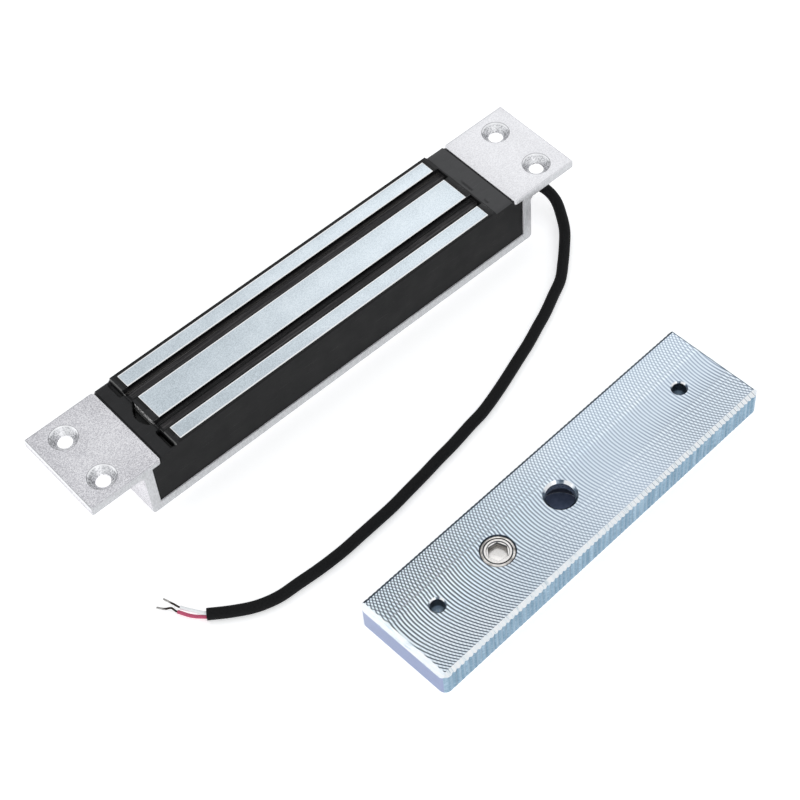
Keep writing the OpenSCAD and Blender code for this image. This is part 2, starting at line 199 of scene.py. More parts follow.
class Paint:
    """A material under construction, with short calls for the nodes it needs.

    place is the point that is shaded, in mm, and x, y and z are its parts.
    """

    def __init__(self, name, **fixed):
        self.material = bpy.data.materials.new(name)
        self.material.use_nodes = True
        self.tree = self.material.node_tree
        self.shader = self.tree.nodes["Principled BSDF"]
        for key, value in fixed.items():
            self.shader.inputs[key.replace("_", " ")].default_value = value
        metres = self.tree.nodes.new("ShaderNodeTexCoord").outputs["Object"]
        scale = self.node("ShaderNodeVectorMath", {0: metres, "Scale": 1 / MM}, operation="SCALE")
        self.place = scale.outputs[0]
        self.x, self.y, self.z = self.split(self.place)

    def node(self, kind, links, **settings):
        """A node with its settings made and its inputs linked or set."""
        made = self.tree.nodes.new(kind)
        for key, value in settings.items():
            setattr(made, key, value)
        for key, value in links.items():
            if isinstance(value, bpy.types.NodeSocket):
                self.tree.links.new(value, made.inputs[key])
            else:
                made.inputs[key].default_value = value
        return made

    def math(self, operation, a, b=0.0, c=0.0):
        return self.node("ShaderNodeMath", {0: a, 1: b, 2: c}, operation=operation).outputs[0]

    def fold(self, operation, values):
        """One operation over all the values in turn."""
        total = values[0]
        for value in values[1:]:
            total = self.math(operation, total, value)
        return total

    def plus(self, *values):
        return self.fold("ADD", values)

    def times(self, *values):
        return self.fold("MULTIPLY", values)

    def greatest(self, *values):
        return self.fold("MAXIMUM", values)

    def minus(self, a, b):
        return self.math("SUBTRACT", a, b)

    def off(self, value, middle=0.0):
        """How far a value is from the middle, to either side."""
        return self.math("ABSOLUTE", self.minus(value, middle))

    def distance(self, dx, dy):
        return self.math("SQRT", self.plus(self.times(dx, dx), self.times(dy, dy)))

    def facing(self, dx, dy, towards):
        """From -1 to 1: how closely the way out from a hole's centre follows a direction."""
        along = self.plus(self.times(dx, towards[0]), self.times(dy, towards[1]))
        return self.math("DIVIDE", along, self.distance(dx, dy))

    def noise(self, size, detail=2.0, stretch=(1, 1, 1), place=None):
        """Noise from 0 to 1 whose features are about size mm, longer where stretch is above 1."""
        scaled = self.node(
            "ShaderNodeVectorMath",
            {0: place or self.place, 1: [1 / (size * s) for s in stretch]},
            operation="MULTIPLY",
        )
        made = self.node(
            "ShaderNodeTexNoise", {"Vector": scaled.outputs[0], "Scale": 1.0, "Detail": detail}
        )
        return made.outputs["Fac"]

    def ramp(self, value, stops):
        """A smooth map from a value to the greys or colours in stops."""
        made = self.node("ShaderNodeValToRGB", {"Fac": value})
        elements = made.color_ramp.elements
        while len(elements) < len(stops):
            elements.new(0.5)
        for element, (at, colour) in zip(elements, stops):
            element.position = at
            if isinstance(colour, float):
                colour = (colour, colour, colour)
            element.color = (*colour, 1)
        return made.outputs["Color"]

    def span(self, value, low, high, to_low=0.0, to_high=1.0):
        """A straight map from low..high to to_low..to_high that stops at both ends."""
        made = self.node(
            "ShaderNodeMapRange",
            {"Value": value, "From Min": low, "From Max": high, "To Min": to_low, "To Max": to_high},
        )
        return made.outputs["Result"]

    def mix(self, factor, a, b):
        """A mix of two colours."""
        made = self.node("ShaderNodeMix", {}, data_type="RGBA")
        for socket, value in ((made.inputs[0], factor), (made.inputs[6], a), (made.inputs[7], b)):
            if isinstance(value, bpy.types.NodeSocket):
                self.tree.links.new(value, socket)
            else:
                socket.default_value = (*value, 1)
        return made.outputs[2]

    def split(self, vector):
        return self.node("ShaderNodeSeparateXYZ", {0: vector}).outputs

    def bump(self, height, depth):
        """Relief: height from 0 to 1 stands for depth mm."""
        before = self.shader.inputs["Normal"].links
        links = {"Height": height, "Distance": depth * MM, "Strength": 1.0}
        if before:
            links["Normal"] = before[0].from_socket
        made = self.node("ShaderNodeBump", links)
        self.tree.links.new(made.outputs["Normal"], self.shader.inputs["Normal"])

    def set(self, key, socket):
        self.tree.links.new(socket, self.shader.inputs[key])


def blasted_aluminium():
    """Blasted skin, painted brighter at the lead's end as painted glare, with fine dark lines of
    painted shade beside the tabs' edges.
    """
    p = Paint("blasted_aluminium", Metallic=1.0)
    grit = p.noise(0.2, 2)
    fleck = p.noise(0.36, 2)
    cloud = p.noise(14, 2)
    tone = p.plus(
        p.span(grit, 0.35, 0.65, -0.5, 0.5),
        p.span(fleck, 0.35, 0.65, -0.5, 0.5),
        p.span(cloud, 0.3, 0.7, -0.2, 0.2),
    )
    greys = [(0, (0.44, 0.43, 0.455)), (0.5, (0.74, 0.73, 0.76)), (1, (1.0, 0.99, 1.0))]
    skin = p.ramp(p.span(tone, -0.9, 0.9), greys)
    # Painted glare: from x 60 to 70 mm the skin turns into this paler, calmer one, so the tab at the
    # lead's end looks brighter.
    bright = p.ramp(fleck, [(0.35, (0.78, 0.775, 0.795)), (0.65, (0.93, 0.925, 0.945))])
    skin = p.mix(p.span(p.x, 60, 70), skin, bright)
    # Painted shade: fine dark lines on the tabs' tops, along their outer ends and along the gap beside
    # the potting.
    inner, outer = TAB_END - 0.55, TAB_END - 0.4
    groove = p.greatest(
        p.span(p.x, -inner, -outer),
        p.span(p.x, inner, outer, 0, 0.7),
        p.span(p.off(p.y), RESIN_Y, RESIN_Y + 0.15, 0, 0.25),
    )
    groove = p.times(groove, p.span(p.z, TAB_TOP - 0.1, TAB_TOP - 0.04), 0.75)
    p.set("Base Color", p.mix(groove, skin, (0.2, 0.2, 0.21)))
    p.set("Roughness", p.span(grit, 0.3, 0.7, 0.42, 0.58))
    p.bump(grit, 0.06)
    p.bump(fleck, 0.05)
    return p.material


def turned_aluminium():
    """Countersinks: a bright rim inside a fine dark line, and a chattered cone; the rim and the cone
    are painted lighter on the side that faces (0.6, 0.8), a painted highlight.
    """
    p = Paint("turned_aluminium", Metallic=1.0)
    dx = p.minus(p.x, p.times(p.math("SIGN", p.x), TAB_HOLE[0]))
    dy = p.minus(p.y, p.times(p.math("SIGN", p.y), TAB_HOLE[1]))
    reach = p.distance(dx, dy)
    # Painted highlight: the cone and the rim are lighter on the side that faces (0.6, 0.8).
    lit = p.facing(dx, dy, (0.6, 0.8))
    chips = p.noise(0.45, 3)
    cone = p.plus(p.span(lit, 0.1, 0.9, 0.36, 0.7), p.span(chips, 0.38, 0.62, -0.3, 0.3))
    rim = p.times(p.span(reach, 3.95, 4.1), p.span(lit, 0.0, 0.5))
    tone = p.times(p.plus(cone, rim), p.span(reach, 4.34, 4.28, 0.15, 1.0))
    greys = [(0, (0.16, 0.16, 0.17)), (0.5, (0.66, 0.66, 0.68)), (0.9, (0.97, 0.97, 0.98))]
    p.set("Base Color", p.ramp(tone, greys))
    p.set("Roughness", p.span(chips, 0.3, 0.7, 0.3, 0.5))
    p.bump(chips, 0.05)
    return p.material


def pole_edge_highlight(p):
    """1 along the sides and ends of the pole strips, where a white highlight is painted, 0 elsewhere.
    """
    edge_highlight = p.span(p.off(p.x, MAGNET_SHIFT), STRIP_X - 0.18, STRIP_X - 0.14)
    for line in (POLE_Y - 0.14, WINDOW_OUT + 0.14, CORE_Y - 0.14):
        edge_highlight = p.greatest(edge_highlight, p.span(p.off(p.off(p.y), line), 0.21, 0.17))
    return edge_highlight


def ground_steel():
    """Pole faces are ground, with a painted white highlight along each side and painted shade that
    darkens them towards the near end and on the front strip; the rest is varnished black.
    """
    p = Paint("ground_steel")
    grit = p.noise(0.3, 3)
    cloud = p.noise(11, 2)
    streak = p.noise(0.35, 2, (30, 1, 1))
    # Painted shade: the tone falls towards the near end and on the front strip.
    tone = p.plus(
        p.span(grit, 0.35, 0.65, -0.5, 0.5),
        p.span(cloud, 0.3, 0.7, -0.2, 0.2),
        p.span(p.x, -60, -10, -0.3, 0.1),
        p.span(p.y, -11, -9, -0.18, 0.0),
    )
    greys = [(0, (0.52, 0.58, 0.62)), (0.5, (0.70, 0.77, 0.82)), (1, (0.85, 0.91, 0.95))]
    steel = p.ramp(p.span(tone, -0.8, 0.8), greys)
    ground = p.span(p.z, POLE_Z - 0.16, POLE_Z - 0.12)
    # Painted highlight: pure white lines along the edges of the pole faces.
    edge_highlight = p.times(pole_edge_highlight(p), ground)
    p.set("Base Color", p.mix(edge_highlight, p.mix(ground, (0.004, 0.004, 0.004), steel), (1, 1, 1)))
    p.set("Specular IOR Level", p.span(ground, 0, 1, 0.12, 0.5))
    p.set("Metallic", p.minus(ground, edge_highlight))
    p.set("Roughness", p.span(grit, 0.3, 0.7, 0.38, 0.5))
    p.bump(grit, 0.012)
    p.bump(streak, 0.004)
    return p.material


def painted_glare_end(p, colour):
    """Painted glare: the potting turns paler between the magnet and the lip, at the lead's end."""
    painted_glare = p.times(p.span(p.x, FAR_END + 0.5, FAR_END + 0.9), p.span(p.x, LIP_X - 0.7, LIP_X - 0.75))
    return p.mix(painted_glare, colour, (0.05, 0.05, 0.052))


def slot_floors(p, colour):
    """Dull threads along the floors between the poles, each floor with a dark line of painted shadow at
    its front.
    """
    slot = p.times(p.span(p.z, SLOT_FLOOR + 1.1, SLOT_FLOOR + 0.8), p.span(p.off(p.x), 61, 60.9))
    threads = p.span(p.noise(0.3, 2, (90, 1, 1)), 0.52, 0.62)
    floor = p.mix(threads, (0.036, 0.034, 0.036), (0.095, 0.09, 0.09))
    # Painted shadow: the floor turns black along its front side.
    behind = p.math("GREATER_THAN", p.y, 0)
    from_front = p.plus(p.y, p.span(behind, 0, 1, WINDOW_OUT, -POLE_Y))
    floor = p.mix(p.span(from_front, 2.3, 2.2), floor, (0.002, 0.002, 0.002))
    return p.mix(slot, colour, floor)


def black_collar(p, colour):
    """The high borders round the pole strips are black."""
    collar = p.span(p.off(p.x, MAGNET_SHIFT), STRIP_X + 1.2, STRIP_X + 1.0)
    collar = p.times(collar, p.span(p.z, BORDER_TOP - 0.4, BORDER_TOP - 0.3))
    return p.mix(collar, colour, (0.002, 0.002, 0.002))


def painted_shade_hollows(p, colour):
    """Painted shade: the hollows at the end away from the lead are black inside, where they are deep.
    """
    inside = p.times(p.span(p.x, NEAR_END + 0.3, NEAR_END + 0.2), p.span(p.x, 0.6 - LIP_X, 0.7 - LIP_X))
    deep = p.span(p.z, RESIN_TOP - 0.4, RESIN_TOP - 1.0)
    return p.mix(p.times(inside, deep), colour, (0.001, 0.001, 0.001))


def creased_film(p, colour):
    """A glossy creased film stands against the magnet's end, behind the middle hollow."""
    film = p.times(
        p.span(p.x, NEAR_END + 0.3, NEAR_END + 0.2),
        p.span(p.x, NEAR_END - 0.4, NEAR_END - 0.3),
        p.span(p.off(p.y, -0.5), 4.6, 4.4),
        p.span(p.z, 19.3, 19.5),
        p.span(p.z, 22.0, 21.8),
    )
    creases = [(0.36, (0.07, 0.07, 0.07)), (0.5, (0.4, 0.4, 0.39)), (0.64, (0.95, 0.94, 0.93))]
    return p.mix(film, colour, p.ramp(p.noise(0.55, 2, (1, 1.6, 1.2)), creases))


def pale_edges(p, colour):
    """A pale edge runs along the magnet's end, on both sides of the film."""
    edge = p.times(
        p.span(p.x, NEAR_END + 0.05, NEAR_END),
        p.span(p.x, NEAR_END - 0.4, NEAR_END - 0.3),
        p.span(p.z, 21.5, 21.6),
        p.span(p.off(p.y), 8.0, 8.2),
    )
    return p.mix(edge, colour, (0.16, 0.16, 0.155))


def potting(name, low, high, wear, rough, specular, under=(), over=()):
    """Black potting between two tones, with scratches and specks.

    under and over are the layers that go on before and after the wear.
    """
    p = Paint(name, Specular_IOR_Level=specular)
    cloud = p.noise(6, 3)
    grit = p.noise(0.5, 3)
    scratches = p.span(p.noise(0.16, 2, (60, 1.5, 1.5)), 0.66, 0.74)
    specks = p.span(p.noise(0.55, 1), 0.76, 0.8)
    colour = p.ramp(cloud, [(0.3, (low, low, low * 1.08)), (0.7, (high, high, high * 1.08))])
    for layer in under:
        colour = layer(p, colour)
    colour = p.mix(p.times(scratches, wear), colour, (0.09, 0.09, 0.095))
    colour = p.mix(p.times(specks, wear), colour, (0.16, 0.16, 0.16))
    for layer in over:
        colour = layer(p, colour)
    p.set("Base Color", colour)
    p.set("Roughness", p.span(cloud, 0.3, 0.7, *rough))
    p.bump(grit, 0.02)
    p.bump(scratches, 0.01)
    return p.material


POTTING_LAYERS = (slot_floors, black_collar, painted_shade_hollows, creased_film, pale_edges)


def plain(
    name, low, high, roughness, size=0.6, depth=0.01, metallic=0.0, stretch=(1, 1, 1), specular=0.5
):
    """A material whose fine grain, of about size mm and depth mm, is mottled from low to high."""
    p = Paint(name, Metallic=metallic, Specular_IOR_Level=specular)
    grain = p.noise(size, 3, stretch)
    p.set("Base Color", p.ramp(grain, [(0.35, low), (0.65, high)]))
    p.set("Roughness", p.span(grain, 0.3, 0.7, roughness - 0.06, roughness + 0.06))
    p.bump(grain, depth)
    return p.material


def bare_wire():
    """Twisted strands: dark near the insulation, brighter at the tips."""
    p = Paint("bare_wire", Metallic=1.0)
    tip = p.greatest(p.span(p.x, -92.1, -92.9), p.span(p.y, -43.9, -43.0))
    grain = p.noise(0.2, 3)
    dark = p.ramp(grain, [(0.35, (0.012, 0.010, 0.009)), (0.65, (0.07, 0.05, 0.04))])
    bright = p.ramp(grain, [(0.35, (0.25, 0.24, 0.23)), (0.65, (0.7, 0.69, 0.67))])
    p.set("Base Color", p.mix(tip, dark, bright))
    p.set("Roughness", p.span(grain, 0.3, 0.7, 0.3, 0.45))
    p.bump(grain, 0.01)
    return p.material


def in_plate(p):
    """Places a material in the armature's own frame, in mm from its centre."""
    shifted = p.node(
        "ShaderNodeVectorMath",
        {0: p.place, 1: (PLATE_CENTRE[0], PLATE_CENTRE[1], 0)},
        operation="SUBTRACT",
    )
    turned = p.node(
        "ShaderNodeVectorRotate",
        {"Vector": shifted.outputs[0], "Angle": -PLATE_TURN},
        rotation_type="Z_AXIS",
    )
    return turned.outputs[0]


def crossing_arcs(p, place, crossing):
    """Height of the milling marks: trailing arcs everywhere, leading arcs where they cross."""
    x, y, _ = p.split(place)
    wobble = p.noise(9, 2, place=place)
    reach = p.math("SQRT", p.minus(MILL_R ** 2, p.times(y, y)))
    fronts = []
    for sign, lift in ((1.0, 0.0), (-1.0, 0.1)):
        travel = p.math("MULTIPLY_ADD", reach, sign, x)
        phase = p.math("MULTIPLY_ADD", wobble, 0.5, p.math("DIVIDE", travel, MILL_PITCH))
        wave = p.math("SINE", p.times(phase, 2 * math.pi))
        wave = p.plus(wave, p.math("MULTIPLY_ADD", crossing, 0.2, lift))
        fronts.append(p.span(wave, -0.8, 0.05))
    trailing, leading = fronts
    shown = p.times(p.minus(1, leading), crossing)
    return p.times(trailing, p.minus(1, shown))


def milled_face():
    """Face milling: the cutter's leading and trailing edges leave two sets of crossing arcs."""
    p = Paint("milled_face", Metallic=1.0)
    place = in_plate(p)
    x, y, _ = p.split(place)
    low_right = p.times(p.span(x, -32, -8, 0.25, 0.6), p.span(y, -4.5, -5.5))
    crossing = p.greatest(p.span(y, 5.0, 6.2), low_right)
    height = crossing_arcs(p, place, crossing)
    soft = p.span(x, -42, 12)
    deep = p.times(p.span(x, 18, 42), p.span(y, 0, -5))
    level = p.minus(soft, p.times(deep, 0.45))
    dark = p.mix(level, (0.015, 0.03, 0.065), (0.34, 0.41, 0.52))
    light = p.ramp(p.noise(22, 2, place=place), [(0.3, (0.80, 0.90, 0.98)), (0.7, (0.88, 0.95, 1.0))])
    calm = p.times(soft, p.minus(1, crossing), 0.8)
    light = p.mix(calm, light, (0.68, 0.76, 0.84))
    # Painted shade: the top face darkens in a thin strip along its rear and far edges.
    edge = p.greatest(p.span(y, 15.5, 15.6), p.span(x, 63.5, 63.65))
    p.set("Base Color", p.mix(edge, p.mix(height, dark, light), (0.03, 0.05, 0.075)))
    p.set("Roughness", p.span(p.noise(0.4, 2), 0.3, 0.7, 0.3, 0.42))
    p.bump(height, 0.03)
    return p.material


def hole_chamfer():
    """Turned chamfers: a painted highlight sweeps along one side of each hole, with a break in the
    middle.
    """
    p = Paint("hole_chamfer", Metallic=1.0)
    x, y, _ = p.split(in_plate(p))
    hole_x = GUIDES_AT[0][0]
    for limit, value in ((-38, EJECTOR_AT[0]), (-14, BOLT_AT[0]), (24, GUIDES_AT[1][0])):
        step = p.times(p.math("GREATER_THAN", x, limit), p.minus(value, hole_x))
        hole_x = p.plus(step, hole_x)
    dx, dy = p.minus(x, hole_x), p.minus(y, BOLT_AT[1])
    chips = p.noise(0.7, 3)
    # Painted highlight on the side of each hole that faces (0.6, 0.8), broken by a dark gap near (0.72,
    # 0.69).
    lit = p.span(p.facing(dx, dy, (0.6, 0.8)), 0.35, 0.6)
    unbroken = p.span(p.facing(dx, dy, (0.72, 0.69)), 0.978, 0.955, 0.05, 1.0)
    tone = p.plus(p.times(lit, unbroken), p.span(chips, 0.35, 0.65, -0.12, 0.12))
    blues = [(0.0, (0.12, 0.16, 0.21)), (0.5, (0.62, 0.68, 0.74)), (1.0, (0.98, 0.99, 1.0))]
    p.set("Base Color", p.ramp(tone, blues))
    p.set("Roughness", p.span(chips, 0.3, 0.7, 0.2, 0.35))
    p.bump(chips, 0.02)
    return p.material


def bore_wall():
    """Guide holes: dark walls, paler near the bottom."""
    p = Paint("bore_wall", Metallic=1.0)
    chips = p.noise(0.5, 3, (1, 1, 0.4))
    tone = p.plus(p.span(p.z, 6.0, 5.3, 0.1, 0.8), p.span(chips, 0.35, 0.65, -0.15, 0.15))
    p.set("Base Color", p.ramp(tone, [(0.0, (0.02, 0.03, 0.045)), (1.0, (0.55, 0.66, 0.78))]))
    p.set("Roughness", p.span(chips, 0.3, 0.7, 0.3, 0.5))
    p.bump(chips, 0.02)
    return p.material


def milled_side():
    """The plate's sides: short upright cutter marks in long level bands."""
    p = Paint("milled_side", Metallic=1.0)
    place = in_plate(p)
    rows = p.noise(0.5, 2, (2.2, 2.2, 0.8), place)
    bands = p.noise(1.5, 2, (1, 1, 20), place)
    tone = p.plus(p.span(rows, 0.3, 0.7, -0.5, 0.5), p.span(bands, 0.3, 0.7, -0.5, 0.5))
    blues = [(0, (0.10, 0.20, 0.29)), (0.5, (0.25, 0.38, 0.49)), (1, (0.48, 0.62, 0.73))]
    p.set("Base Color", p.ramp(p.span(tone, -1, 1), blues))
    p.set("Roughness", p.span(rows, 0.3, 0.7, 0.28, 0.42))
    p.bump(rows, 0.03)
    return p.material


def bright_chamfer():
    """The plate's bright chamfers, with painted shade in dark seams between scallops towards one end.
    """
    p = Paint("bright_chamfer", Metallic=1.0)
    place = in_plate(p)
    cuts = p.noise(0.7, 2, (1, 6, 6), place)
    x, y, _ = p.split(place)
    # Painted shade along the creases between the scallops, stronger towards +x.
    phase = p.times(p.math("MULTIPLY_ADD", y, 0.3, x), 2 * math.pi / SCALLOP_PITCH)
    seam_shade = p.times(p.span(p.math("SINE", phase), 0.9, 0.98), p.span(x, -5, 20, 0, 0.8))
    blues = [(0.26, (0.62, 0.70, 0.76)), (0.4, (0.9, 0.96, 1.0)), (0.6, (0.98, 0.99, 1.0))]
    metal = p.ramp(cuts, blues)
    p.set("Base Color", p.mix(seam_shade, metal, (0.2, 0.27, 0.33)))
    p.set("Roughness", p.span(cuts, 0.3, 0.7, 0.25, 0.4))
    p.bump(cuts, 0.02)
    return p.material


def smooth_end():
    """The plate's smooth ends, which look bluer than its sides."""
    p = Paint("smooth_end", Metallic=1.0)
    grain = p.noise(0.5, 3, (1, 6, 1), in_plate(p))
    p.set("Base Color", p.ramp(grain, [(0.3, (0.285, 0.335, 0.505)), (0.7, (0.355, 0.41, 0.585))]))
    p.set("Roughness", p.span(grain, 0.3, 0.7, 0.32, 0.42))
    p.bump(grain, 0.008)
    return p.material


# ---------------------------------------------------------------- mesh helpers


def from_bmesh(name, bm, materials=()):
    """A mesh of a finished bmesh, with its materials in slots."""
    mesh = bpy.data.meshes.new(name)
    bm.to_mesh(mesh)
    bm.free()
    for material in materials:
        mesh.materials.append(material)
    return mesh


def belongs(made, body, slot_name, *nodes):
    """Puts a piece on its body and in place of its CAD nodes."""
    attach(made, body)
    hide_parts(*nodes)


def add_object(name, data, body, slot_name, *nodes):
    """Links a new piece into the scene, on its body and in place of its CAD nodes."""
    made = linked(name, data)
    belongs(made, body, slot_name, *nodes)
    return made


def apply_modifiers(made):
    """Replaces an object's mesh with what its modifiers make of it."""
    graph = bpy.context.evaluated_depsgraph_get()
    mesh = bpy.data.meshes.new_from_object(made.evaluated_get(graph))
    made.modifiers.clear()
    made.data = mesh


def shade(mesh, angle):
    """Smooth shading, with creases at edges that turn by more than angle degrees."""
    mesh.shade_smooth()
    mesh.set_sharp_from_angle(angle=math.radians(angle))


def welded(node):
    """A bmesh copy of a CAD node with its facets joined into whole faces."""
    bm = bmesh.new()
    bm.from_mesh(NODES[node].data)
    bmesh.ops.remove_doubles(bm, verts=bm.verts, dist=2e-6)
    bmesh.ops.dissolve_limit(
        bm, angle_limit=math.radians(0.5), verts=bm.verts, edges=bm.edges, delimit=set()
    )
    return bm


def refined(name, node, body, slot_name, materials, edge, kind=None):
    """A copy of a CAD node whose edges are broken by edge mm, so that they catch the light.

    kind picks the material of each face.
    """
    mesh = from_bmesh(name, welded(node), materials)
    for extra in ("custom_normal", "sharp_face", "sharp_edge"):
        if extra in mesh.attributes:
            mesh.attributes.remove(mesh.attributes[extra])
    made = add_object(name, mesh, body, slot_name, node)
    rounding = made.modifiers.new("edges", "BEVEL")
    rounding.width = edge * MM
    rounding.segments = 2
    rounding.limit_method = "ANGLE"
    rounding.angle_limit = math.radians(28)
    apply_modifiers(made)
    if kind:
        for face in made.data.polygons:
            face.material_index = kind(face)
    shade(made.data, 40)


def bracket_kind(face):
    """0 blasted skin, 1 countersink, 2 sawn profile face, 3 bright edge."""
    n, c = face.normal, face.center / MM
    from_hole = math.hypot(abs(c.x) - TAB_HOLE[0], abs(c.y) - TAB_HOLE[1])
    if c.z > 18 and from_hole < 4.6 and (n.z < 0.9 or c.z < TAB_TOP - 0.1):
        return 1
    if abs(n.y) > 0.9 and abs(c.y) > 16.2:
        return 2
    on_ledge = BASE_T - 0.4 < c.z < BASE_T + 0.05 and abs(c.y) > RESIN_Y
    if (c.z > TAB_TOP - 0.5 or on_ledge) and 0.25 < n.z < 0.97:
        return 3
    return 0


def rim_kind(face):
    """0 body, 1 worn upper edge."""
    return int(face.center.z > (POLE_Z - 0.5) * MM and 0.2 < face.normal.z < 0.95)


def smooth_route(route, steps=6):
    """Points of a smooth curve through the route, in metres."""
    points = [Vector(p) for p in route]
    ends = [2 * points[0] - points[1]] + points + [2 * points[-1] - points[-2]]
    out = []
    for a, b, c, d in zip(ends, ends[1:], ends[2:], ends[3:]):
        for step in range(steps):
            t = step / steps
            square = 2 * a - 5 * b + 4 * c - d
            cube = 3 * b - a - 3 * c + d
            out.append(0.5 * (2 * b + (c - a) * t + square * t * t + cube * t ** 3))
    out.append(points[-1])
    return [p * MM for p in out]


def tube_curve(name, lines, radius, material):
    """A curve object with one round line along each list of points."""
    data = bpy.data.curves.new(name, "CURVE")
    data.dimensions = "3D"
    data.bevel_depth = radius * MM
    data.bevel_resolution = 5
    data.use_fill_caps = True
    for line in lines:
        spline = data.splines.new("POLY")
        spline.points.add(len(line) - 1)
        for point, place in zip(spline.points, line):
            point.co = (*place, 1)
        spline.use_smooth = True
    data.materials.append(material)
    return data


# ---------------------------------------------------------------- lead


def twisted(route, seed):
    """Strands that wind round a route and open a little towards its end."""
    line = smooth_route(route, 5)
    last = len(line) - 1
    lines = []
    for strand in range(WIRE_COUNT):
        around = 2 * math.pi * strand / (WIRE_COUNT - 1)
        own = []
        for i, point in enumerate(line):
            t = i / last
            along = (line[min(i + 1, last)] - line[max(i - 1, 0)]).normalized()
            side = along.cross(Vector((0, 0, 1))).normalized()
            up = side.cross(along)
            angle = around + 2 * math.pi * WIRE_TURNS * t
            out = 0.6 * WIRE_R * (1 + WIRE_SPLAY * t * t) if strand else 0.0
            wander = 0.06 * t * noise.noise(Vector((seed + strand, t * 3, 0.5)))
            aside = math.cos(angle) * out + wander
            own.append(point + (side * aside + up * math.sin(angle) * out) * MM)
        lines.append(own)
    return lines


def make_lead(paints):
    """The jacket and, at its stripped end, two cores with bare strands."""
    line = smooth_route(JACKET_ROUTE)
    tube = tube_curve("lead_jacket", [line], JACKET_R, paints["pvc_black"])
    jacket = add_object("lead_jacket", tube, "lock", "pvc_black", "cable_jacket")
    ends = (("red", RED_ROUTE, RED_STRAND_ROUTE), ("white", WHITE_ROUTE, WHITE_STRAND_ROUTE))
    for colour, route, strand_route in ends:
        slot, name = f"pvc_{colour}", f"{colour}_insulation"
        core = tube_curve(name, [smooth_route(route)], CORE_R, paints[slot])
        add_object(name, core, "lock", slot, f"{colour}_core")
        name = f"{colour}_wires"
        strands = twisted(strand_route, len(colour))
        wires = tube_curve(name, strands, 0.4 * WIRE_R, paints["bare_wire"])
        add_object(name, wires, "lock", "tinned_copper", f"{colour}_strands")


# ---------------------------------------------------------------- lock


def steps_with_edges(low, high, step, edges):
    """Grid lines about step apart, with a close pair at each edge for a crisp corner."""
    count = round((high - low) / step)
    marks = {round(low + (high - low) * i / count, 4) for i in range(count + 1)}
    for edge in edges:
        marks = {m for m in marks if abs(m - edge) > 0.14}
        marks |= {round(edge - 0.05, 4), round(edge + 0.05, 4)}
    return sorted(m for m in marks if low <= m <= high)


def smoothstep(low, high, value):
    """0 at low and 1 at high, with a smooth rise between them."""
    t = min(max((value - low) / (high - low), 0), 1)
    return t * t * (3 - 2 * t)


def resin_height(x, y):
    """Height of the potting's top at a point, in mm."""
    if abs(x) > LIP_X - 0.05:
        return LIP_LOW
    broad = noise.noise(Vector((x * 0.22, y * 0.5, 1)))
    fine = noise.noise(Vector((x * 1.1, y * 1.4, 5)))
    ripple = broad * 0.06 + fine * 0.03
    out = abs(x - MAGNET_SHIFT) - MAGNET_X
    if out > (FILM_T if x < 0 else 0):
        return end_zone_height(x, y, out, ripple)
    across = abs(y)
    if POLE_Y < across < WINDOW_OUT:
        return slot_height(y, across, ripple)
    if y > 0:
        return BORDER_TOP + 0.1 + ripple * 0.3
    return BORDER_TOP + ripple * 0.3 - 0.3 * smoothstep(RESIN_Y - 0.35, RESIN_Y, across)


def end_zone_height(x, y, out, ripple):
    """The wide areas at the two ends: a ledge round the magnet and a groove at the tab."""
    z = RESIN_TOP + ripple
    z += 0.45 * smoothstep(0.62, 0.5, out)
    groove = LIP_X - (0.5 if x < 0 else 0.75)
    z -= 0.7 * smoothstep(groove - 0.1, groove + 0.05, abs(x))
    z -= 0.35 * math.exp(-((RESIN_BACK_Y if y > 0 else RESIN_Y) - abs(y)) / 0.4)
    if x < 0:
        return z - near_end_dip(x, y)
    middle = smoothstep(1.8, 1.2, y) * smoothstep(-4.2, -3.4, y)
    front = smoothstep(-8.8, -9.2, y) * smoothstep(-11.2, -10.6, y)
    return z - 0.5 * max(middle, front) * math.exp(-((x - FAR_END - 1.8) / 0.25) ** 2)


def slot_height(y, across, ripple):
    """Potting between the poles: a meniscus at each wall and two fine ridges."""
    from_leg, from_pole = WINDOW_OUT - across, across - POLE_Y
    z = SLOT_FLOOR + ripple * 1.4
    z += 0.5 * math.exp(-from_pole / 0.3) + 0.35 * math.exp(-from_leg / 0.25)
    near_edge = from_leg if (y > 0) == (across > 7.5) else from_pole
    return z + 0.3 * math.exp(-((near_edge - 0.95) / 0.16) ** 2)


def near_end_dip(x, y):
    """Depth of the hollows that the potting leaves at the end away from the lead."""
    dip = 0.0
    edge = NEAR_END - FILM_T
    bow = 2.6 * (1 - ((y + 0.5) / 5.3) ** 2)
    if bow > 0:
        dip = 2.2 * smoothstep(edge - bow - 0.15, edge - bow + 0.2, x)
    for low, high, deep in ((-15.0, -8.0, 2.2), (9.0, 15.2, 0.9)):
        inside = smoothstep(low - 0.2, low + 0.2, y) * smoothstep(high + 0.2, high - 0.2, y)
        inside *= smoothstep(edge - 1.5, edge - 1.3, x) * smoothstep(edge - 0.1, edge - 0.35, x)
        dip = max(dip, deep * inside)
    return dip


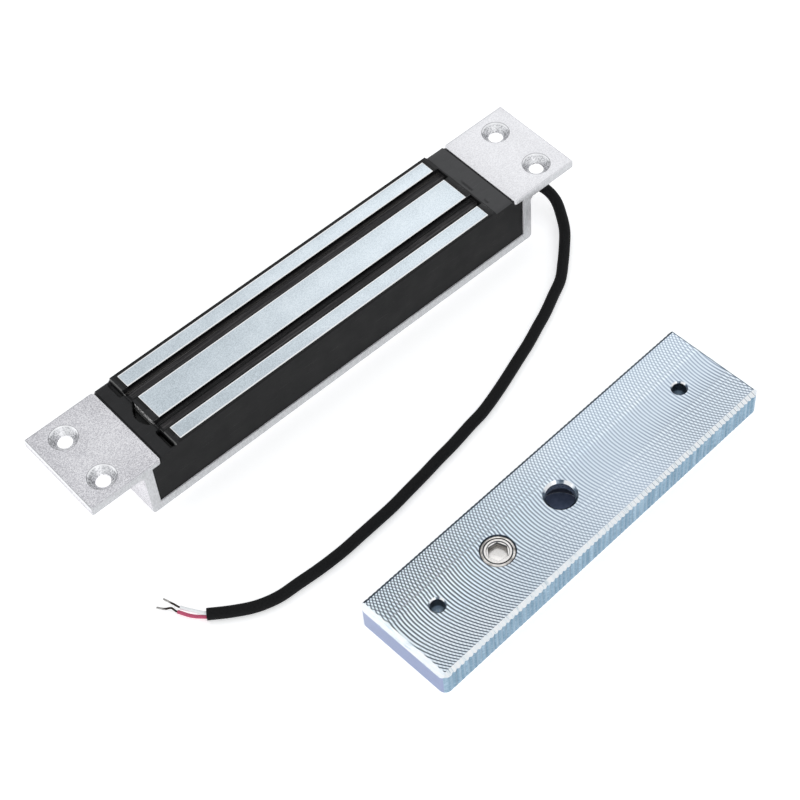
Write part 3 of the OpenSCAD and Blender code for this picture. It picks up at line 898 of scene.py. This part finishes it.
def make_resin(paints):
    """The potting: a fine grid for its top, and a skirt down to the channel's base."""
    x_edges = (
        -LIP_X, -LIP_X + 0.55, NEAR_END - 1.4, NEAR_END - 0.55, NEAR_END - FILM_T,
        FAR_END, FAR_END + 0.55, LIP_X - 0.8, LIP_X,
    )
    xs = steps_with_edges(-WALL_IN, WALL_IN, 0.35, x_edges)
    ys = steps_with_edges(-RESIN_Y, RESIN_BACK_Y, 0.3, (-WINDOW_OUT, -POLE_Y, POLE_Y, WINDOW_OUT))
    bm = bmesh.new()
    grid = [[bm.verts.new((x * MM, y * MM, resin_height(x, y) * MM)) for y in ys] for x in xs]
    for i in range(len(xs) - 1):
        for j in range(len(ys) - 1):
            bm.faces.new((grid[i][j], grid[i + 1][j], grid[i + 1][j + 1], grid[i][j + 1]))
    rim = [edge for edge in bm.edges if edge.is_boundary]
    skirt = bmesh.ops.extrude_edge_only(bm, edges=rim)
    for part in skirt["geom"]:
        if isinstance(part, bmesh.types.BMVert):
            part.co.z = BASE_T * MM
        if isinstance(part, bmesh.types.BMFace):
            part.material_index = 1
    bmesh.ops.recalc_face_normals(bm, faces=bm.faces)
    mesh = from_bmesh("potting", bm, (paints["resin"], paints["resin_side"]))
    shade(mesh, 38)
    add_object("potting", mesh, "lock", "epoxy_black", "potting_resin")


# ---------------------------------------------------------------- armature


def plate_outline():
    """Plan points of the plate: scalloped long sides, plain ends, round corners."""
    half_l, half_w = PLATE_L / 2, PLATE_W / 2
    flat = half_l - CORNER_R
    count = int(2 * flat / 0.18)
    long_side = []
    for i in range(count + 1):
        x = -flat + 2 * flat * i / count
        dip = SCALLOP_DEPTH * (1 - abs(math.cos(math.pi * x / SCALLOP_PITCH)))
        dip *= smoothstep(flat, flat - 1.0, abs(x))
        long_side.append((x, dip))
    points = [(x, -(half_w - dip)) for x, dip in long_side]
    points += arc(flat, -(half_w - CORNER_R), -90)
    points += arc(flat, half_w - CORNER_R, 0)
    points += [(x, half_w - dip) for x, dip in reversed(long_side)]
    points += arc(-flat, half_w - CORNER_R, 90)
    points += arc(-flat, -(half_w - CORNER_R), 180)
    return points


def arc(cx, cy, start):
    """The inner points of a corner's quarter circle, from start degrees on."""
    turn = [math.radians(start + 9 * i) for i in range(1, 10)]
    return [(cx + CORNER_R * math.cos(a), cy + CORNER_R * math.sin(a)) for a in turn]


def plate_rings(outline):
    """The plate's rings from the working face up to the back face."""
    half_l, half_w = PLATE_L / 2, PLATE_W / 2
    rings = [[], [], [], [], []]
    for x, y in outline:
        length = math.hypot(x, y)
        in_l = half_l - (NEAR_CHAMFER if x < 0 else FAR_CHAMFER)
        in_w = half_w - (FRONT_CHAMFER if y < 0 else REAR_CHAMFER)
        low_y = y
        if abs(y) > half_w - SCALLOP_DEPTH - 0.01 and abs(x) < half_l - CORNER_R:
            low_y = math.copysign(0.8 * half_w + 0.2 * abs(y), y)
        rings[0].append((x - 0.3 * x / length, low_y - 0.3 * math.copysign(1, y), 0))
        rings[1].append((x, low_y, 0.3))
        rings[2].append((x, y, 3))
        fall = max(abs(x) - in_l, abs(y) - in_w, 0.05)
        rings[3].append((x, y, PLATE_T - fall))
        rings[4].append((max(-in_l, min(in_l, x)), max(-in_w, min(in_w, y)), PLATE_T))
    return rings


def bridge(bm, low, high):
    """Faces between two closed rings of vertices, where a ring may repeat one vertex."""
    count = len(low)
    for i in range(count):
        corners = [low[i], low[(i + 1) % count], high[(i + 1) % count], high[i]]
        bm.faces.new(list(dict.fromkeys(corners)))


def cutter(name, radius_low, radius_high, z_low, z_high, at, count=64):
    """A closed round cutter in the plate's frame."""
    bm = bmesh.new()
    depth = z_high - z_low
    middle = Matrix.Translation((at[0] * MM, at[1] * MM, (z_low + depth / 2) * MM))
    bmesh.ops.create_cone(
        bm, cap_ends=True, segments=count, radius1=radius_low * MM, radius2=radius_high * MM,
        depth=depth * MM, matrix=middle,
    )
    return linked(name, from_bmesh(name, bm))


PLATE_PAINTS = (
    "milled_face", "milled_side", "bright_chamfer", "smooth_end", "dark_edge", "bore_wall",
    "recess", "hole_chamfer", "bright_bore", "nickel",
)


def plate_paint(face):
    """The paint of one of the plate's faces, from its place and the way it looks."""
    n, c = face.normal, face.center / MM
    flat, slanted = abs(n.z) > 0.98, abs(n.z) > 0.2
    from_bolt = math.hypot(c.x - BOLT_AT[0], c.y - BOLT_AT[1])
    if flat and (c.z > PLATE_T - 0.1 or c.z < 0.1):
        return "milled_face"
    # Painted shade: the walls of the bolt head's recess take a dark matt paint.
    if c.z < HEAD_DEPTH + 0.05 and from_bolt < HEAD_R + 0.1:
        return "recess"
    if flat or (from_bolt < BOLT_R + 0.05 and not slanted):
        return "bright_bore"
    # The seat's chamfer round the ejector takes the painted-shade paint.
    if math.hypot(c.x - EJECTOR_AT[0], c.y - EJECTOR_AT[1]) < SEAT_R + 0.7:
        return "dark_edge" if n.z > 0.2 else "nickel"
    if abs(c.x) <= PLATE_L / 2 - CORNER_R and abs(c.y) <= PLATE_W / 2 - 1.5:
        return "hole_chamfer" if slanted else "bore_wall"
    # Painted shade: chamfers that face +y take the dark paint, the others the bright one.
    if slanted:
        return "dark_edge" if n.y > 0.3 else "bright_chamfer"
    return "smooth_end" if abs(n.x) > 0.8 else "milled_side"


def plate_blank():
    """The plate before its holes are cut."""
    bm = bmesh.new()
    rings = plate_rings(plate_outline())
    verts = [[bm.verts.new([c * MM for c in point]) for point in ring] for ring in rings]
    for low, high in zip(verts, verts[1:]):
        bridge(bm, low, high)
    bm.faces.new(list(reversed(verts[0])))
    bm.faces.new(verts[-1])
    bmesh.ops.remove_doubles(bm, verts=bm.verts, dist=1e-7)
    bmesh.ops.recalc_face_normals(bm, faces=bm.faces)
    return bm


def plate_cuts():
    """Cutters for the bolt hole, the ejector's seat and the guide holes, each with its chamfer."""
    top = PLATE_T
    cuts = [
        cutter("bolt", BOLT_R, BOLT_R, -1, top + 1, BOLT_AT, 96),
        cutter("bolt_edge", BOLT_R, BOLT_R + 1.6, top - 0.8, top + 0.8, BOLT_AT, 96),
        cutter("head", HEAD_R, HEAD_R, -1, HEAD_DEPTH, BOLT_AT, 96),
        cutter("seat", SEAT_R, SEAT_R, -1, top + 1, EJECTOR_AT, 96),
        cutter("seat_edge", SEAT_R, SEAT_R + 0.6, top - 0.3, top + 0.3, EJECTOR_AT, 96),
    ]
    for at in GUIDES_AT:
        cuts.append(cutter("guide", GUIDE_R, GUIDE_R, top - GUIDE_DEPTH, top + 1, at))
        cuts.append(cutter("guide_edge", GUIDE_R, GUIDE_R + 0.9, top - 0.45, top + 0.45, at))
    return cuts


def make_plate(paints):
    """The armature plate, with its holes and a paint for each kind of face."""
    mesh = from_bmesh("plate", plate_blank(), [paints[key] for key in PLATE_PAINTS])
    made = linked("plate", mesh)
    cut_away(made, plate_cuts())
    shade(made.data, 30)
    for face in made.data.polygons:
        face.material_index = PLATE_PAINTS.index(plate_paint(face))
        face.use_smooth = abs(face.normal.z) < 0.98
    place_in_plate(made)
    belongs(made, "armature", "plated_steel", "armature_plate")


def turned(profile, count=96):
    """A bmesh of a profile of (radius, z) points turned round the z axis."""
    bm = bmesh.new()
    rings = []
    for radius, z in profile:
        if radius == 0:
            rings.append([bm.verts.new((0, 0, z * MM))] * count)
            continue
        ring = []
        for i in range(count):
            a = 2 * math.pi * i / count
            ring.append(bm.verts.new((radius * MM * math.cos(a), radius * MM * math.sin(a), z * MM)))
        rings.append(ring)
    for low, high in zip(rings, rings[1:]):
        bridge(bm, low, high)
    bmesh.ops.recalc_face_normals(bm, faces=bm.faces)
    return bm


EJECTOR_PAINTS = ("nickel", "socket", "nickel_rim", "dark_edge")


def ejector_paint(face):
    """The paint of a face of the ejector's body, while its axis is still the z axis."""
    c = face.center / MM
    away = math.hypot(c.x, c.y)
    if away > 4.27:
        return "nickel_rim"
    # Painted shade: the groove and the steps at the socket's mouth take the dark paint.
    if away > 3.94 or (c.z > 8.96 and face.normal.z < 0.95):
        return "dark_edge"
    if away < 2.95 and abs(face.normal.z) < 0.5:
        return "socket"
    return "nickel"


def make_ejector_body(paints):
    """The plated housing: a rim, a groove, a raised ring and a hexagon socket over the pin's bores."""
    materials = [paints[key] for key in EJECTOR_PAINTS]
    made = linked("ejector_body", from_bmesh("ejector_body", turned(EJECTOR_PROFILE), materials))
    axis = (0, 0)
    cuts = [
        cutter("socket", SOCKET_R, SOCKET_R, 7.2, 11, axis, 6),
        cutter("socket_mouth", SOCKET_R - 0.1, SOCKET_R + 0.4, 8.85, 9.35, axis, 6),
        cutter("drill_point", 0.3, 2.1, 6.8, 7.25, axis, 48),
        cutter("spring_bore", 2.65, 2.65, 1.3, 5.7, axis, 48),
        cutter("pin_bore", 2.0, 2.0, -1, 3, axis, 48),
    ]
    cut_away(made, cuts)
    for face in made.data.polygons:
        face.material_index = EJECTOR_PAINTS.index(ejector_paint(face))
    shade(made.data, 30)
    made.data.transform(Matrix.Rotation(SOCKET_TURN, 4, "Z"))
    made.data.transform(Matrix.Translation((EJECTOR_AT[0] * MM, EJECTOR_AT[1] * MM, 0)))
    place_in_plate(made)
    belongs(made, "armature", "nickel_plated", "ejector_housing")


def cut_away(made, cuts):
    """Takes each cutter out of a mesh, then deletes the cutters."""
    for cut in cuts:
        change = made.modifiers.new(cut.name, "BOOLEAN")
        change.operation = "DIFFERENCE"
        change.object = cut
        change.solver = "EXACT"
    apply_modifiers(made)
    for cut in cuts:
        bpy.data.objects.remove(cut)


def place_in_plate(made):
    """Moves a mesh from the plate's own frame to where the armature lies."""
    place = Matrix.Translation((PLATE_CENTRE[0] * MM, PLATE_CENTRE[1] * MM, 0))
    made.data.transform(place @ Matrix.Rotation(PLATE_TURN, 4, "Z"))


# ---------------------------------------------------------------- floor


def paper(name):
    """Matt paper, with white as the colour of its glow."""
    return Paint(name, Roughness=0.9, Specular_IOR_Level=0.1, Emission_Color=(1, 1, 1, 1))


def make_floor():
    """A pale floor that glows a little, which keeps it white round the lock."""
    bm = bmesh.new()
    low = Matrix.Translation((0, 0, FLOOR_Z * MM))
    bmesh.ops.create_grid(bm, x_segments=1, y_segments=1, size=3, matrix=low)
    p = paper("floor_paper")
    p.shader.inputs["Emission Strength"].default_value = FLOOR_GLOW
    tones = [(0.3, FLOOR_WHITE - 0.005), (0.7, FLOOR_WHITE + 0.005)]
    p.set("Base Color", p.ramp(p.noise(40, 2), tones))
    linked("floor", from_bmesh("floor", bm, [p.material]))


def make_shade_disc():
    """A disc of painted shade on the floor under the armature's recess, dark only while the armature
    covers it.
    """
    bm = bmesh.new()
    bmesh.ops.create_circle(bm, cap_ends=True, segments=48, radius=(HEAD_R - 0.05) * MM)
    p = paper("shade_disc")
    sky = p.node("ShaderNodeAmbientOcclusion", {"Distance": 12 * MM}).outputs["AO"]
    lifted = p.span(sky, 0.5, 0.9)
    # Painted shade: the disc turns dark blue where the armature covers it.
    dark = p.ramp(p.noise(2, 3), [(0.35, (0.15, 0.19, 0.31)), (0.65, (0.22, 0.27, 0.42))])
    p.set("Base Color", p.mix(lifted, dark, (FLOOR_WHITE, FLOOR_WHITE, FLOOR_WHITE)))
    p.set("Emission Strength", p.times(lifted, FLOOR_GLOW))
    made = linked("bolt_shade_disc", from_bmesh("bolt_shade_disc", bm, [p.material]))
    made.data.transform(Matrix.Translation((BOLT_AT[0] * MM, BOLT_AT[1] * MM, SHADE_DISC_Z * MM)))
    place_in_plate(made)


def make_paints():
    """Every paint of the object, by the key that the pieces use."""
    return {
        "aluminium": blasted_aluminium(),
        "steel": ground_steel(),
        "turned": turned_aluminium(),
        "sawn": plain(
            "sawn_aluminium", (0.52, 0.525, 0.54), (0.66, 0.665, 0.68), 0.5, 0.35, 0.02, 1.0, (1, 1, 3),
        ),
        "edge": plain("edge_aluminium", (0.86, 0.87, 0.88), (0.97, 0.97, 0.98), 0.35, 0.5, 0.01, 1.0),
        "resin": potting(
            "cast_resin", 0.009, 0.014, 0.35, (0.34, 0.5), 0.28, (painted_glare_end,), POTTING_LAYERS,
        ),
        # The potting's sides take a darker, less shiny copy of its paint.
        "resin_side": potting("potting_side_darker", 0.005, 0.008, 0.12, (0.5, 0.62), 0.14),
        "end_plate": plain(
            "end_plate_black", (0.008, 0.008, 0.009), (0.016, 0.016, 0.017), 0.42, 0.5, 0.015,
            specular=0.3,
        ),
        "worn_paint": plain(
            "worn_paint", (0.02, 0.02, 0.02), (0.3, 0.3, 0.3), 0.35, 1.2, 0.01, specular=0.6,
        ),
        "hole_chamfer": hole_chamfer(),
        # Painted shade: a dark metal paint for chamfers, grooves and steps in shade.
        "dark_edge": plain(
            "shaded_chamfer", (0.012, 0.02, 0.03), (0.04, 0.055, 0.075), 0.4, 0.5, 0.01, 1.0,
        ),
        "bore_wall": bore_wall(),
        "bright_bore": plain(
            "bright_bore", (0.5, 0.62, 0.72), (0.95, 0.98, 1.0), 0.3, 0.7, 0.02, 1.0, (1, 1, 0.5),
        ),
        # Painted shade for the recess under the bolt's head.
        "recess": plain("recess_shade", (0.05, 0.06, 0.09), (0.08, 0.09, 0.13), 0.6, 0.8, 0.02, 0.0),
        "socket": plain(
            "socket_nickel", (0.02, 0.02, 0.02), (0.34, 0.32, 0.3), 0.25, 0.5, 0.01, 1.0, (8, 8, 1),
        ),
        "nickel_rim": plain("nickel_rim", (0.3, 0.28, 0.26), (0.98, 0.95, 0.92), 0.25, 2.2, 0.01, 1.0),
        "milled_face": milled_face(),
        "milled_side": milled_side(),
        "bright_chamfer": bright_chamfer(),
        "smooth_end": smooth_end(),
        "plated": plain("plated_fastener", (0.5, 0.51, 0.53), (0.6, 0.61, 0.62), 0.35, 0.3, 0.006, 1.0),
        "pressboard": plain(
            "pressboard", (0.035, 0.033, 0.031), (0.07, 0.066, 0.06), 0.5, 0.3, 0.02, 0.0, (8, 1, 1),
        ),
        "nylon": plain("moulded_nylon", (0.02, 0.02, 0.02), (0.035, 0.035, 0.035), 0.45, 0.4, 0.01),
        "copper": plain(
            "enamelled_copper", (0.45, 0.16, 0.06), (0.6, 0.25, 0.1), 0.3, 0.25, 0.03, 0.9, (10, 10, 1),
        ),
        "tape": plain("film_tape", (0.5, 0.45, 0.25), (0.6, 0.55, 0.34), 0.2, 3, 0.02, 0.0, (3, 3, 1)),
        "board": plain("board_green", (0.02, 0.12, 0.05), (0.03, 0.17, 0.07), 0.35, 0.6, 0.01),
        "blue": plain("varistor_blue", (0.02, 0.07, 0.28), (0.03, 0.1, 0.36), 0.3, 0.8, 0.01),
        "diode": plain("diode_black", (0.012, 0.012, 0.012), (0.02, 0.02, 0.02), 0.35, 0.3, 0.01),
        "pvc_black": plain(
            "pvc_black", (0.01, 0.01, 0.0105), (0.0145, 0.0145, 0.015), 0.55, 0.5, 0.012, specular=0.04,
        ),
        "pvc_red": plain("pvc_red", (0.47, 0.053, 0.13), (0.55, 0.085, 0.17), 0.35, 0.5, 0.01),
        "pvc_white": plain("pvc_white", (0.84, 0.86, 0.87), (0.9, 0.92, 0.93), 0.35, 0.5, 0.01),
        "tinned_copper": plain(
            "tinned_copper", (0.32, 0.29, 0.26), (0.5, 0.47, 0.43), 0.35, 0.2, 0.01, 1.0,
        ),
        "bare_wire": bare_wire(),
        "nickel": plain("nickel_plate", (0.86, 0.83, 0.80), (0.96, 0.93, 0.91), 0.3, 0.4, 0.006, 1.0),
        "spring": plain("spring_wire", (0.4, 0.4, 0.42), (0.5, 0.5, 0.52), 0.3, 0.3, 0.005, 1.0),
        "brass": plain("turned_brass", (0.62, 0.46, 0.18), (0.7, 0.54, 0.24), 0.28, 0.3, 0.006, 1.0),
    }


# Paints of the CAD nodes that are carried over
INNER = {
    "core_rivets": "plated", "core_fixing_screws": "plated", "slot_liners": "pressboard",
    "coil_former": "nylon", "coil_winding": "copper", "coil_tape": "tape", "coil_leads": "copper",
    "circuit_board": "board", "surge_varistor": "blue", "flyback_diode": "diode",
    "cable_grommet": "nylon", "core_tails": "tinned_copper", "ejector_spring": "spring",
    "ejector_pin": "brass",
}

make_camera()
paints = make_paints()
make_lead(paints)
make_world()
make_softbox("key", (0.62, 0.5, 0.68), 0.55, 0.35, 0.17)
make_softbox("front", (-0.3, -0.9, 0.5), 1.0, 0.6, 0.8)
make_softbox("rim", (-0.81, 0.47, 0.35), 0.9, 0.5, 0.3)
make_floor()
make_shade_disc()
bracket_skins = [paints[key] for key in ("aluminium", "turned", "sawn", "edge")]
refined("bracket", "mounting_bracket", "lock", "blasted_aluminium", bracket_skins, 0.22, bracket_kind)
refined("pole_core", "core_stack", "lock", "electrical_steel", [paints["steel"]], 0.16)
end_skins = [paints["end_plate"], paints["worn_paint"]]
for side in ("near", "far"):
    refined(f"{side}_plate", f"{side}_end_plate", "lock", "black_paint", end_skins, 0.15, rim_kind)
make_resin(paints)
make_plate(paints)
make_ejector_body(paints)
for node, paint in INNER.items():
    for holder in NODES[node].material_slots:
        holder.material = paints[paint]

bpy.context.scene.view_settings.view_transform = "Standard"
